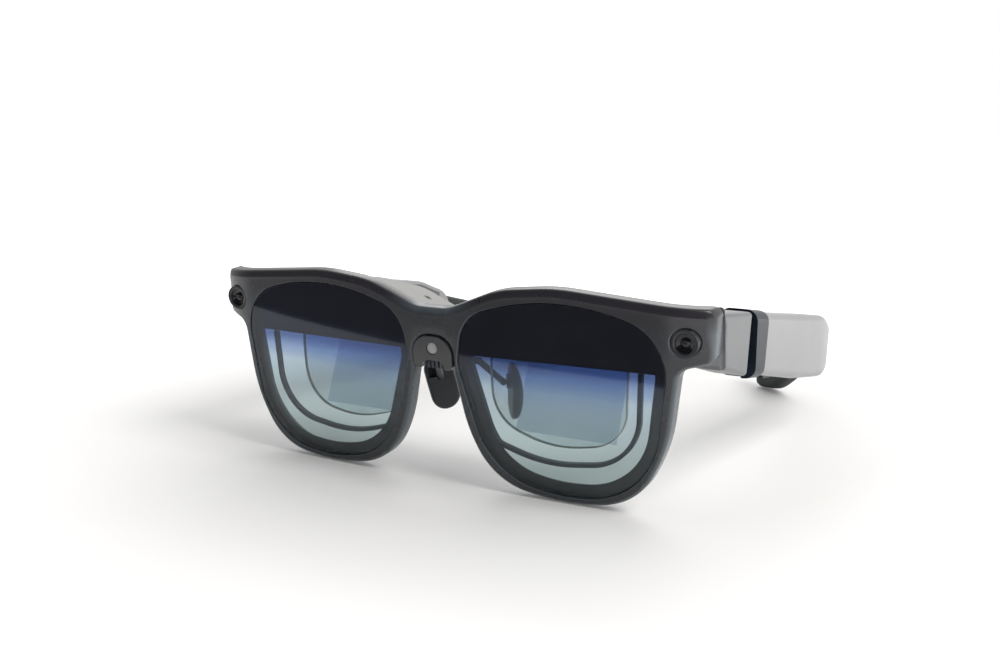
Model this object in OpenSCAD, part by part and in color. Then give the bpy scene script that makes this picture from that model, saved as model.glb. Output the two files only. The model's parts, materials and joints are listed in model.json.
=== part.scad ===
// Smart glasses standing on their lower rims and their temple tips, temples open.
// The origin is on the ground, in the middle of the space that the glasses take up.
// +X is the wearer's left, -Y is the way the wearer looks and +Z is up.
// All sizes are in millimetres. The parts are drawn with the face at y = 0 and are then
// moved forward by foot_mid.

/* [Front] */
// Width over both endpieces
front_w = 150; // [148:0.5:152]
// Radius of the bowed face, seen from above
face_r = 960; // [800:20:1400]
// Distance from the middle at which the face starts to turn back
turn_x = 62; // [61:0.5:64]
// Radius of that turn, seen from above
turn_r = 25; // [22:1:30]
// Forward lean of the face in degrees
lean = 5.2; // [4:0.2:6.4]
// Depth of the face frame
frame_d = 5; // [4.6:0.1:5.4]
// Thickness of each front lens
lens_t = 1.4; // [1:0.1:1.6]
// Thickness of the dark mask behind each lens
mask_t = 0.4; // [0.3:0.1:0.6]
// Width of the seat that each lens rests on
seat_w = 1.5; // [1:0.1:2]
// Width of the dark band round each clear window
band_w = 3.2; // [2.6:0.2:4]
// Height of the top edge of each clear window
window_top = 36.2; // [33:0.2:38]

/* [Optics] */
// Distance between the two eye axes
eye_gap = 62; // [60:0.5:64]
// Depth of the optics housing behind the face frame
housing_d = 18; // [17:0.5:20]
// Travel of each focus carriage, up and down
focus_travel = 0.7; // [0.4:0.1:0.8]
// Wall of the housings and temple shells
wall = 1.4; // [1.2:0.1:1.6]
// Radius of each focus dial
dial_r = 3.8; // [3.4:0.1:4]

/* [Cameras] */
// Distance of each depth camera from the middle
depth_cam_x = 68.6; // [68.2:0.1:69]
// Height of each depth camera up the face
depth_cam_z = 45; // [44.7:0.1:45.3]
// Radius of each depth camera's bezel ring
ring_r = 3.5; // [3.3:0.05:3.7]
// Radius of each depth camera's lens
depth_cam_r = 2.3; // [2:0.1:2.5]

/* [Arms and hinges] */
// Downward slope of the arms and temples in degrees
slope = 9.7; // [9.2:0.1:10.2]
// Width of each arm
arm_w = 9; // [8.6:0.1:9.4]
// Distance of each hinge pin from the arm's outer face
hinge_in = 5.5; // [5.2:0.1:5.8]
// Distance of the hinge pins behind the face
hinge_y = 32.5; // [32:0.25:33.5]
// Radius of each hinge pin
pin_r = 1; // [0.8:0.05:1.2]
// Radial running clearance round the pins
run_gap = 0.05; // [0.03:0.01:0.08]

/* [Temples] */
// How much wider the temples stand than the front, on each side
flare = 1.2; // [0.9:0.1:1.4]
// Thickness of each temple shell
temple_t = 8.6; // [8.2:0.1:9]
// Distance along the temple at which its bend starts
bend_start = 97; // [94:1:99]
// Outer radius of the bend
bend_r = 80; // [76:1:84]
// Angle of the bend where the shell meets the tip
shell_bend = 14; // [12:1:16]
// Angle of the whole bend
tip_bend = 53; // [50:1:55]
// Thickness of each tip
tip_t = 6.4; // [5.6:0.2:7]

/* [Nose] */
// Height of the nose pads
pad_h = 17; // [15.5:0.5:18]
// Width of the nose pads
pad_w = 8.6; // [8:0.2:9.6]
// Outward splay of the nose pads in degrees
pad_splay = 12; // [8:1:16]

/* [Hidden] */
$fn = 64;

// Shared measures
half_w = front_w / 2;
side_x = half_w + flare;           // outer side of the temples at their front
arm_in = half_w - arm_w;           // inner face of each arm
arm_z = 52.5;                      // height of the arm frame's origin
arm_end = 28;                      // rear end of each arm, along the arm
hinge_x = half_w - hinge_in;
hinge_z = 40.4;                     // middle of the hinge
collar_end = 41;                   // rear end of each collar, along the arm
barrel_r = 2.8;                    // radius of the hinge barrels
knuckle_h = 4.6;                   // height of the moving knuckle
leaf_h = 3.4;                      // height of each fixed barrel
leaf_gap = 0.3;                    // gap between the barrels
hinge_h = knuckle_h + 2 * (leaf_gap + leaf_h);
part_gap = 0.3;                    // clearance between parts that pass each other
fit_gap = 0.1;                     // gap round parts that are set in
holder_wall = 1.1;                 // width of the combiner carriers' rails
lens_back = 0.4 + lens_t;          // depth of the back of each lens
seat_y = lens_back + mask_t;       // depth of the lens seats
eye_x = eye_gap / 2;
reach = 90;                        // longer than any part that it cuts
centre_cam_z = 37.4;               // height of the middle camera up the face
foot_mid = 75.6;                   // middle of the whole depth, behind the face

// Outline of one half of the face: [x, z, corner radius], going round anticlockwise
rim_half = [
    [3.5, 38, 2], [9.5, 16, 47.5], [17, 2.5, 19.5], [37, -0.81, 67.5], [56.5, 2, 17.5],
    [64.5, 18, 40.5], [67, 38, 3.5], [half_w - 0.5, 39.5, 2], [half_w, 52.5, 2.5],
    [35.5, 56, 51.5], [20, 54.5, 30], [5, 48.4, 9]];
// Outline of the left lens, in the same form
lens_half = [
    [65.5, 46, 14], [36.5, 55, 60], [9.5, 47, 11], [7.5, 34, 10],
    [16, 5, 21.5], [36, 1.5, 43.5], [60.5, 3.5, 21]];
// Outline of the plate at the bridge
bridge_plate = [[6, 31.8, 1.5], [6, 40.8, 5], [-6, 40.8, 5], [-6, 31.8, 1.5]];
// Outline of each combiner's carrier, a broad letter U, and of the combiner
holder_half = [
    [57.5, 38, 3], [9, 38, 3], [9.5, 14.3, 13], [31, 7.8, 40], [56.5, 11.3, 15]];
combiner_half = [
    [51.5, 35.6, 2], [12, 35.6, 2], [12.6, 16.5, 11], [31, 11.3, 35], [50.8, 14, 11]];

// Cross-section of the optics housing, in the arm frame: [x, height, radius]
housing_top = [[64, 0, 2], [36, 2.2, 50], [20, 0.2, 30], [6, -5.4, 9]];
housing_low = -14.5;
// Side view of a temple shell, in the arm frame: [distance back, height, radius]
shell_side = [[41, -15.3, 1], [74, -17.2, 60], [104, -17.4, 20], [118.5, -14.5, 7],
              [117.5, -2, 8], [100, 1.6, 30], [41, 1, 1]];
// Side view of a temple tip
tip_side = [[104, -14.5, 1], [132, -15, 25], [150, -26.2, 8], [162, -26.5, 6.5],
            [165, -12.5, 5], [130, -4.5, 40], [104, -1.5, 1]];

// ---------- outlines ----------
function flat2(p) = [p[0], p[1]];
function unit(v) = v / norm(v);
function flipped(p) = [for (i = [len(p) - 1 : -1 : 0]) [-p[i][0], p[i][1], p[i][2]]];

// Arc that replaces corner b between a and c, set in by d
function corner(a, b, c, d, n) =
    let (u = unit(flat2(a) - flat2(b)), v = unit(flat2(c) - flat2(b)),
         h = acos(u * v) / 2, side = sign(cross(-u, v)),
         r = side > 0 ? max(b[2], d + 0.05) : b[2],
         centre = flat2(b) + unit(u + v) * r / sin(h),
         start = flat2(b) + u * r / tan(h) - centre,
         a0 = atan2(start[1], start[0]), turn = (180 - 2 * h) * side)
    [for (i = [0 : n]) centre + (r - side * d)
        * [cos(a0 + turn * i / n), sin(a0 + turn * i / n)]];

// Closed outline with rounded corners, set in by d
function rounded(p, d = 0, n = 6) = let (m = len(p))
    [for (i = [0 : m - 1]) each corner(p[(i + m - 1) % m], p[i], p[(i + 1) % m], d, n)];

// ---------- frames ----------
module on_face() { rotate([lean, 0, 0]) children(); }
module on_arm() { translate([0, 0, arm_z]) rotate([-slope, 0, 0]) children(); }
module on_side(s) { if (s > 0) children(); else mirror([1, 0, 0]) children(); }
// Puts a finished part in its place: 1 for the left side or the middle, -1 for the right
module placed(s = 1) { translate([0, -foot_mid, 0]) on_side(s) children(); }

// Upright plate with outline p, from depth y0 to y1
module plate(p, y0, y1) {
    translate([0, y1, 0]) rotate([90, 0, 0]) linear_extrude(y1 - y0) polygon(p);
}
// Side-view plate with outline p, from x0 to x1
module side_plate(p, x0, x1) {
    translate([x0, 0, 0]) rotate([90, 0, 90]) linear_extrude(x1 - x0) polygon(p);
}
// Everything deeper behind the face than d. The face is bowed, and turns back at both ends.
turn_at = (face_r - turn_r) * [turn_x / face_r, -sqrt(1 - pow(turn_x / face_r, 2))] + [0, face_r];
module behind(d, low = -20, high = 80) {
    intersection() {
        translate([0, face_r, low]) cylinder(r = face_r - d, h = high - low, $fn = 720);
        union() {
            block(-turn_at[0], turn_at[0], -5, 60, low, high);
            for (s = [1, -1]) on_side(s) {
                translate([turn_at[0], turn_at[1], low])
                    cylinder(r = turn_r - d, h = high - low, $fn = 180);
                block(0, turn_at[0] + turn_r - d, turn_at[1], 60, low, high);
            }
        }
    }
}
// Bowed plate with outline p, from depth d0 to d1
module bowed(p, d0, d1) {
    intersection() {
        plate(p, -2, 16);
        difference() { behind(d0); behind(d1, -21, 81); }
    }
}
module block(x0, x1, y0, y1, z0, z1) {
    translate([x0, y0, z0]) cube([x1 - x0, y1 - y0, z1 - z0]);
}

// ---------- front ----------
module front_frame() {
    color("#4a4e54") on_face() difference() {
        bowed(rounded(concat(rim_half, flipped(rim_half))), 0, frame_d);
        for (s = [1, -1]) on_side(s) {
            bowed(rounded(lens_half, -fit_gap), -1, seat_y);
            plate(rounded(lens_half, seat_w), -2, 16);
            translate([depth_cam_x, -2, depth_cam_z]) rotate([-90, 0, 0])
                cylinder(r = ring_r + run_gap, h = 16);
        }
        plate(rounded(bridge_plate, -0.2), -2, 16);
    }
}
module lens() {
    color("#26282c") on_face() bowed(rounded(lens_half), 0.4, lens_back);
}
module lens_mask() {
    color("#1b1c1e") on_face() difference() {
        bowed(rounded(lens_half, fit_gap), lens_back, seat_y);
        intersection() {
            plate(rounded(lens_half, band_w), -2, 16);
            block(0, reach, -2, 16, 0, window_top);
        }
    }
}
module camera_cover() {
    color("#3a3c40") on_face() difference() {
        bowed(rounded(bridge_plate), 0.1, 3);
        translate([0, -2, 30.2]) rotate([-90, 0, 0]) cylinder(r = 3.9, h = 9);
        translate([0, -2, centre_cam_z]) rotate([-90, 0, 0]) cylinder(r = 1.65, h = 9);
    }
}
module camera_window() {
    color("#a5a5a8") on_face() translate([0, 0.2, centre_cam_z]) rotate([-90, 0, 0])
        cylinder(r = 1.6, h = 1.4);
}
module centre_camera() {
    color("#202124") on_face() {
        translate([0, 1.6, centre_cam_z]) rotate([-90, 0, 0]) cylinder(r = 1.6, h = 1.6);
        block(-3.4, 3.4, 3.2, 5.6, 34.9, 39.9);
    }
}
module nose_bracket() {
    color("#2a2c2f") on_face() {
        difference() {
            union() {
                block(-4.6, 4.6, 5.8, 9.4, 31, 37);
                block(-4.2, 4.2, 3.2, 5.8, 31, 34.4);
            }
            for (i = [-3 : 3]) block(i * 1.3 - 0.3, i * 1.3 + 0.3, 3, 4, 30, 35);
        }
        for (s = [1, -1]) on_side(s) pad_arm();
    }
}
pad_pivot = [11.2, 21, 23.6];      // middle of the pivot of the left nose pad
// Bent rod from the bracket to one nose pad
module pad_arm() {
    knee = [7, 12.5, 31.2];
    elbow = pad_pivot - [0.9, 1.6, 0];
    rod([3.6, 8.4, 33], knee, 0.9);
    translate(knee) sphere(r = 1);
    rod(knee, elbow, 0.9);
    translate(elbow) sphere(r = 1);
    rod(elbow, pad_pivot, 0.6);
    translate(pad_pivot - [0, 0, 2]) cylinder(r = 0.8, h = 4);
}
module rod(a, b, r) {
    v = b - a;
    translate(a) rotate([0, acos(v[2] / norm(v)), atan2(v[1], v[0])])
        cylinder(r = r, h = norm(v), $fn = 32);
}
pad_yaw = 50;                      // turn of each pad towards the nose
pad_t = 3.4;                       // thickness of each pad
pad_corner = 4.2;                  // corner radius of each pad
pad_ball = 22;                     // radius of the domed side that meets the nose
module nose_pad() {
    half = [[pad_w / 2, -pad_h / 2, pad_corner], [pad_w / 2, pad_h / 2, pad_corner]];
    color("#3c3e42") on_face() difference() {
        translate(pad_pivot) rotate([0, 0, -pad_yaw]) rotate([0, pad_splay, 0])
            translate([0, 0.2, -3.4]) intersection() {
                plate(rounded(concat(half, flipped(half))), 0, pad_t);
                translate([0, pad_t - pad_ball, 0]) sphere(r = pad_ball, $fn = 96);
            }
        translate(pad_pivot - [0, 0, 2.4]) cylinder(r = 0.8 + run_gap, h = 4.8);
        translate(pad_pivot - [2.6, 4.2, 1.4]) cube([5.2, 4.2, 2.8]);
    }
}

// ---------- optics ----------
function housing_outline(drop, low) = let (t = [for (p = housing_top) p - [0, drop, 0]])
    rounded(concat([[64, low, 2]], t, flipped(t), [[-64, low, 2]]));

module housing_block(drop, low, a0, a1) {
    on_arm() plate(housing_outline(drop, low), a0, a1);
}
housing_a = 3;                     // front end of the housing, inside the frame's back
housing_end = 6 + housing_d;
dial_x = 41;                       // place of each focus dial, from the middle
dial_a = 14.5;                     // and along the arm
module behind_frame() {
    intersection() { children(); on_face() behind(frame_d); }
}
module rear_housing() {
    color("#2b2d30") difference() {
        behind_frame() housing_block(wall, housing_low, housing_a, housing_end);
        on_arm() {
            for (s = [1, -1]) on_side(s) {
                block(13.6, 62.4, 8.6, housing_end - wall, housing_low + wall, 9);
                block(eye_x - 14, eye_x + 14, 9.6, housing_end - 2, -20, 0);
            }
            block(-12.4, 12.4, 8.6, housing_end - wall, housing_low + wall, 2);
            for (p = screw_spots) translate([p[0], p[1], -9]) cylinder(r = 0.55, h = 14);
        }
        on_face() block(-5.4, 5.4, -2, 9.8, 28, 40.6);
    }
}
// Places of the cover screws, in the arm frame
screw_spots = [[63.2, 11], [63.2, 20], [-63.2, 11], [-63.2, 20], [13, 16], [-13, 16]];
function cover_height(x) = abs(x) > 40 ? 0.1 : -2.45;
module top_cover() {
    color("#a9a69e") difference() {
        behind_frame() housing_block(0, -40, housing_a, housing_end);
        on_arm() {
            plate(housing_outline(wall, -60), 0, 40);
            block(-reach, reach, 0, 40, -60, -6.5);
            for (s = [1, -1]) on_side(s) block(61.5, reach, 0, 40, -60, -1.3);
            for (s = [1, -1]) translate([s * dial_x, dial_a, -4])
                cylinder(r = dial_r + part_gap, h = 12);
            for (p = screw_spots) translate([p[0], p[1], -6]) {
                cylinder(r = 0.75, h = 12);
                translate([0, 0, 6 + cover_height(p[0]) - 0.9]) cylinder(r = 1.15, h = 6);
            }
        }
    }
}
module housing_screws() {
    color("#8c8e92") on_arm() for (p = screw_spots)
        translate([p[0], p[1], cover_height(p[0]) - 0.9]) {
            difference() {
                cylinder(r = 1.05, h = 0.7);
                translate([0, 0, 0.35]) cylinder(r = 0.5, h = 1, $fn = 6);
            }
            translate([0, 0, -4]) cylinder(r = 0.5, h = 4);
        }
}
module main_board() {
    color("#1f5a3c") on_arm() block(-11.8, 11.8, housing_end - 3.6, housing_end - 2.6, -12.6, -7.4);
}

// The carrier's outline, d inside its edge and kept within the rim's opening
module holder_plate(d) {
    intersection() {
        plate(rounded(holder_half, d), -3, 17);
        plate(rounded(lens_half, seat_w + part_gap + d), -3, 17);
    }
}
module combiner_holder() {
    color("#3a3b3f") on_face() difference() {
        intersection() {
            bowed(rounded(lens_half, seat_w + part_gap), 2.6, 4.2);
            holder_plate(0);
        }
        holder_plate(holder_wall);
        block(0, reach, 0, 20, 35.6, 60);
    }
}
combiner_r = 60;                   // outer radius of each curved combiner
combiner_t = 1.1;                  // its thickness
combiner_mid = [eye_x, 66, 26];    // the middle of its curve
module combiner() {
    color([0.75, 0.72, 0.6, 0.35]) on_face() intersection() {
        plate(rounded(combiner_half), 4, 14);
        difference() {
            translate(combiner_mid) sphere(r = combiner_r, $fn = 240);
            translate(combiner_mid) sphere(r = combiner_r - combiner_t, $fn = 240);
        }
    }
}
splitter_tilt = 27;                // backward lean of each beam splitter
splitter_h = 21.9;                 // length of its sloping side
module beam_splitter() {
    color([0.6, 0.66, 0.68, 0.3]) on_face() translate([eye_x, 12.6, 13])
        rotate([-splitter_tilt, 0, 0]) block(-13.6, 15.5, 0, 0.9, 0, splitter_h);
}
carriage_gap = 0.8;                // room left under the carriage at the end of its travel
carriage_low = housing_low + wall + focus_travel + carriage_gap;
// Light path through the carriage, which the field lens fills
module field_block(low, high) { block(eye_x - 8.2, eye_x + 7, 10.8, 19.8, low, high); }
module focus_carriage() {
    color("#55585d") on_arm() difference() {
        block(eye_x - 13, eye_x + 14.5, 9.8, 20.8, carriage_low, carriage_low + 7);
        field_block(carriage_low - 1, carriage_low + 8);
        translate([dial_x, dial_a, carriage_low - 1]) cylinder(r = 1.1, h = 9);
    }
}
module field_lens() {
    color([0.7, 0.8, 0.85, 0.5]) on_arm() field_block(carriage_low + 0.4, carriage_low + 4.4);
}
module display_panel() {
    color("#14161a") on_arm()
        block(eye_x - 9.6, eye_x + 8, 10.2, 20.4, carriage_low + 7, carriage_low + 8.4);
}
dial_low = 0.5;                    // underside of each dial, in the arm frame
module focus_dial() {
    color("#7e7c77") on_arm() translate([dial_x, dial_a, 0]) {
        difference() {
            translate([0, 0, dial_low]) cylinder(r = dial_r, h = 1.9);
            for (i = [0 : 17]) rotate([0, 0, i * 20]) translate([dial_r + 0.15, 0, dial_low - 1])
                cylinder(r = 0.35, h = 4);
        }
        translate([0, 0, carriage_low + 0.6]) cylinder(r = 0.8, h = dial_low - carriage_low);
    }
}

// ---------- cameras ----------
module camera_ring() {
    color("#5b5f66") on_face() translate([depth_cam_x, 0, depth_cam_z]) rotate([-90, 0, 0])
        translate([0, 0, 2.7]) difference() {
            cylinder(r = ring_r, h = 4);
            translate([0, 0, -1]) cylinder(r = depth_cam_r + run_gap, h = 6);
        }
}
module depth_camera() {
    color("#121315") on_face() translate([depth_cam_x, 3, depth_cam_z]) rotate([-90, 0, 0]) {
        cylinder(r = depth_cam_r, h = 4);
        translate([-2.2, -2.2, 4]) cube([4.4, 4.4, 3.4]);
    }
}

// ---------- arms ----------
arm_side = [[-6, -11.6, 1], [30, -15.4, 1], [30, 1.2, 1], [-6, -0.3, 1]];
module arm_shell() {
    color("#85898c") difference() {
        behind_frame() on_arm() intersection() {
            side_plate(rounded(arm_side), 0, reach);
            band_prism([[half_w, -10], [half_w, 4], [side_x, arm_end],
                [arm_in + 1.2, arm_end], [arm_in + 1.2, -10]]);
        }
        on_arm() block(0, half_w - wall, 5.5, arm_end - 2.2, -12, -1.6);
        on_arm() block(0, arm_in + 2.2, 9, arm_end - 4.2, -13, -0.9);
        on_face() translate([depth_cam_x, 0, depth_cam_z]) {
            rotate([-90, 0, 0]) cylinder(r = ring_r + run_gap, h = 12);
            translate([-10, 0, -ring_r]) cube([10, 12, 2 * ring_r]);
        }
        translate([hinge_x - barrel_r - 0.1, hinge_y - 8.3, hinge_z - hinge_h / 2 - 0.1])
            cube([2 * barrel_r + 0.2, 12, hinge_h + 0.2]);
    }
}
module arm_cover() {
    color("#3a3c3f") on_arm() block(arm_in - 0.1, arm_in + 1.1, 9.2, arm_end - 4.4, -12.8, -1.1);
}

// ---------- hinges ----------
module barrel(z0, h, back) {
    translate([hinge_x, hinge_y, z0]) difference() {
        union() {
            cylinder(r = barrel_r, h = h);
            translate([-barrel_r, back > 0 ? 0 : back, 0]) cube([2 * barrel_r, abs(back), h]);
        }
        translate([0, 0, -1]) cylinder(r = pin_r + run_gap, h = h + 2);
    }
}
module hinge_block() {
    color("#6d6f73") {
        for (z = [-1, 1])
            barrel(hinge_z + z * (knuckle_h / 2 + leaf_gap + leaf_h / 2) - leaf_h / 2, leaf_h, -6);
        translate([hinge_x - barrel_r, hinge_y - 8.2, hinge_z - hinge_h / 2])
            cube([2 * barrel_r, 2.2, hinge_h]);
    }
}
module hinge_pin() {
    color("#b9bbbf") translate([hinge_x, hinge_y, hinge_z - hinge_h / 2])
        cylinder(r = pin_r, h = hinge_h);
}
module hinge_knuckle() {
    color("#6d6f73") barrel(hinge_z - knuckle_h / 2, knuckle_h, knuckle_back);
}
collar_outline = [[side_x + 0.6, -16.1, 3], [side_x + 0.6, 1.7, 3],
                  [arm_in - 0.6, 1.7, 2], [arm_in - 0.6, -16.1, 2]];
module collar() {
    color("#1d2127") difference() {
        on_arm() plate(rounded(collar_outline), arm_end, collar_end);
        // Room for the fixed barrels and for the swing of the collar's inner side
        translate([0, -reach, 0]) cube([hinge_x + barrel_r + 0.7, reach + hinge_y + 3.6, reach]);
        translate([0, -reach, 0]) cube([reach, reach + hinge_y - 2.6, reach]);
        knuckle_slot();
    }
}
// Slot that the knuckle's tongue fills, through the collar and into the temple shell
knuckle_back = 8;
module knuckle_slot() {
    translate([hinge_x - barrel_r, hinge_y, hinge_z - knuckle_h / 2])
        cube([2 * barrel_r, knuckle_back, knuckle_h]);
}

// ---------- temples ----------
bow = 3.4;                         // outward bow of the temple at the bend's start
bend_x = half_w + bow - bend_r;    // middle of the bend
// Seen from above: the bend from angle a0 to a1 between depths t0 and t1 below its outer side
function bend_band(a0, a1, t0, t1, n) = concat(
    [for (i = [0 : n]) let (a = a0 + (a1 - a0) * i / n)
        [bend_x + (bend_r - t0) * cos(a), bend_start + (bend_r - t0) * sin(a)]],
    [for (i = [n : -1 : 0]) let (a = a0 + (a1 - a0) * i / n)
        [bend_x + (bend_r - t1) * cos(a), bend_start + (bend_r - t1) * sin(a)]]);
// The same band with its straight stretch forward to distance a
function temple_band(a, a1, t0, t1) = concat(
    [[side_x - t0, a]], bend_band(0, a1, t0, t1, 4), [[side_x - t1, a]]);
module band_prism(p) { translate([0, 0, -40]) linear_extrude(60) polygon(p); }

module temple_shell(buttons) {
    color("#c3c4c6") difference() {
        on_arm() hollow_shell(buttons);
        knuckle_slot();
    }
}
module hollow_shell(buttons) {
    difference() {
        intersection() {
            side_plate(rounded(shell_side), 0, reach);
            band_prism(temple_band(collar_end, shell_bend, 0, temple_t));
        }
        intersection() {
            side_plate(rounded(shell_side, wall + 1), 0, reach);
            band_prism(temple_band(43, 10, wall, temple_t - 1.1));
        }
        intersection() {
            side_plate(rounded(shell_side, wall), 0, reach);
            band_prism(temple_band(43, 11, temple_t - 1.3, temple_t + 2));
        }
        if (buttons) for (i = [0, 1])
            block(button_x - 1.6, button_x + 1.6, button_spots[i] - button_half[i] - 0.3,
                button_spots[i] + button_half[i] + 0.3, -20, -12);
        for (i = [0 : 5]) block(71, 75, 66 + i * 2, 67 + i * 2, -20, -12);
    }
}
module temple_cover() {
    color("#8d8f92") on_arm() intersection() {
        side_plate(rounded(shell_side, wall + fit_gap), 0, reach);
        band_prism(temple_band(43.1, 10.9, temple_t - 1.2, temple_t));
    }
}
module temple_tip(port) {
    color("#23282a") on_arm() difference() {
        intersection() {
            side_plate(rounded(tip_side), 0, reach);
            band_prism(bend_band(shell_bend, tip_bend, 1, 1 + tip_t, 10));
        }
        if (port) port_pins(0.75, -0.5, 1.5);
    }
}
// Frame of the temple's straight stretch, at the front of its outer side
module in_temple() {
    on_arm() translate([side_x, collar_end, 0])
        rotate([0, 0, -atan((half_w + bow - side_x) / (bend_start - collar_end))]) children();
}
module speaker() {
    color("#2e3033") in_temple() block(-6.4, -2, 40, 52, -13.8, -4);
}
module temple_board() {
    color("#1f5a3c") in_temple() block(-3.4, -2.4, 5, 36, -11, -2.4);
}
// Places of the keys under the left temple, and the height of the shell's inner floor there
button_spots = [47.5, 58];
button_x = 71.6;
button_half = [2.4, 3.6];
// Key with a flange inside the shell, so that it can't fall out
module key(i, low, flange) {
    block(button_x - 1.3, button_x + 1.3, button_spots[i] - button_half[i],
        button_spots[i] + button_half[i], low, flange + 0.7);
    block(button_x - 1.2, button_x + 1.2, button_spots[i] - button_half[i] - 0.9,
        button_spots[i] + button_half[i] + 0.9, flange, flange + 0.6);
}
module power_button() {
    color("#3a3d42") on_arm() key(0, -16, -12.85);
}
module volume_rocker() {
    color("#3a3d42") on_arm() {
        key(1, -16.8, -13.3);
        translate([button_x, button_spots[1], -13]) rotate([0, 90, 0])
            cylinder(r = 0.45, h = 4, center = true, $fn = 32);
    }
}
port_r = bend_r - 1 - tip_t / 2;   // radius at which the port contacts sit
// Four round pins of radius r through the end face of a tip, from depth low, h long
module port_pins(r, low, h) {
    for (i = [0 : 3])
        translate([bend_x + port_r * cos(tip_bend), bend_start + port_r * sin(tip_bend),
            -23.5 + i * 2.4]) rotate([0, 0, tip_bend]) rotate([-90, 0, 0])
            translate([0, 0, low]) cylinder(r = r, h = h, $fn = 32);
}
module port_contacts() {
    color("#c9a24a") on_arm() port_pins(0.7, -0.5, 0.5);
}

placed() front_frame();
placed() rear_housing();
placed() top_cover();
placed() housing_screws();
placed() main_board();
placed() camera_cover();
placed() centre_camera();
placed() camera_window();
placed() nose_bracket();
placed(1) lens();  // lens_left
placed(-1) lens();  // lens_right
placed(1) lens_mask();  // lens_mask_left
placed(-1) lens_mask();  // lens_mask_right
placed(1) combiner_holder();  // combiner_holder_left
placed(-1) combiner_holder();  // combiner_holder_right
placed(1) combiner();  // combiner_left
placed(-1) combiner();  // combiner_right
placed(1) beam_splitter();  // beam_splitter_left
placed(-1) beam_splitter();  // beam_splitter_right
placed(1) focus_carriage();  // focus_carriage_left
placed(-1) focus_carriage();  // focus_carriage_right
placed(1) field_lens();  // field_lens_left
placed(-1) field_lens();  // field_lens_right
placed(1) display_panel();  // display_panel_left
placed(-1) display_panel();  // display_panel_right
placed(1) focus_dial();  // focus_dial_left
placed(-1) focus_dial();  // focus_dial_right
placed(1) depth_camera();  // depth_camera_left
placed(-1) depth_camera();  // depth_camera_right
placed(1) camera_ring();  // camera_ring_left
placed(-1) camera_ring();  // camera_ring_right
placed(1) arm_shell();  // arm_shell_left
placed(-1) arm_shell();  // arm_shell_right
placed(1) arm_cover();  // arm_cover_left
placed(-1) arm_cover();  // arm_cover_right
placed(1) hinge_block();  // hinge_block_left
placed(-1) hinge_block();  // hinge_block_right
placed(1) hinge_pin();  // hinge_pin_left
placed(-1) hinge_pin();  // hinge_pin_right
placed(1) hinge_knuckle();  // hinge_knuckle_left
placed(-1) hinge_knuckle();  // hinge_knuckle_right
placed(1) collar();  // collar_left
placed(-1) collar();  // collar_right
placed(1) temple_shell(true);  // temple_shell_left
placed(-1) temple_shell(false);  // temple_shell_right
placed(1) temple_cover();  // temple_cover_left
placed(-1) temple_cover();  // temple_cover_right
placed(1) temple_tip(false);  // temple_tip_left
placed(-1) temple_tip(true);  // temple_tip_right
placed(1) speaker();  // speaker_left
placed(-1) speaker();  // speaker_right
placed(1) temple_board();  // temple_board_left
placed(-1) temple_board();  // temple_board_right
placed() volume_rocker();
placed() power_button();
placed(-1) port_contacts();
placed(1) nose_pad();  // nose_pad_left
placed(-1) nose_pad();  // nose_pad_right
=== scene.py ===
import bmesh
import bpy
import json
from math import acos, asin, atan2, ceil, cos, pi, radians, sin, sqrt
from mathutils import Matrix, Vector, geometry


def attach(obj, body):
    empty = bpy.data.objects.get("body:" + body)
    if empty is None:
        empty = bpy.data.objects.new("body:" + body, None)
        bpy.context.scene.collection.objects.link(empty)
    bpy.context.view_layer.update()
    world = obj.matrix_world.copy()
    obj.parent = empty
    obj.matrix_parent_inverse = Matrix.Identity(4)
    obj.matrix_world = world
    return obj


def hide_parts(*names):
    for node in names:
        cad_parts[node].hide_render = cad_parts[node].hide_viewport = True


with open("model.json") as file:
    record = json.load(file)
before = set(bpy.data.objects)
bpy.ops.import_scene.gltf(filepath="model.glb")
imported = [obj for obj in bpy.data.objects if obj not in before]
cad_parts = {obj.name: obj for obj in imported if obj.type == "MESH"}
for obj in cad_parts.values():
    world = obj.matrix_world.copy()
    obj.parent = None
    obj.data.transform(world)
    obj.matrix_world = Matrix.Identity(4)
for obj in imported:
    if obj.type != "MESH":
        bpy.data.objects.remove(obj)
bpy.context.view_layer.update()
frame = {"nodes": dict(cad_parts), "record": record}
nodes = frame["nodes"]

# ---------- measures, in millimetres, as in the part's source ----------
MM = 0.001
FOOT = 75.6                          # the origin's distance behind the face
LEAN, SLOPE = radians(5.2), radians(9.7)
ARM_Z = 52.5
HALF, SIDE = 75.0, 76.2              # half width of the front and of the temples at their front
FACE_R, TURN_X, TURN_R = 960.0, 62.0, 25.0
FRAME_D, LENS_FRONT, LENS_BACK, SEAT = 5.0, 0.4, 1.8, 2.2
RIM_DEPTH = 1.5                      # how far the lens seat reaches into the rim
BOW, BEND_START, BEND_R = 3.4, 97.0, 80.0
BEND_X = HALF + BOW - BEND_R
BEND_MID = 3.5                       # depth at which lengths round the bend are measured
SHELL_START, ARM_T, SHELL_T = 41, 7.8, 8.6
ARM_INNER = 67.2                     # inner side of the fixed arms
CAM_X, CAM_Z, CAM_BORE = 68.6, 45.0, 3.55

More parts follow.
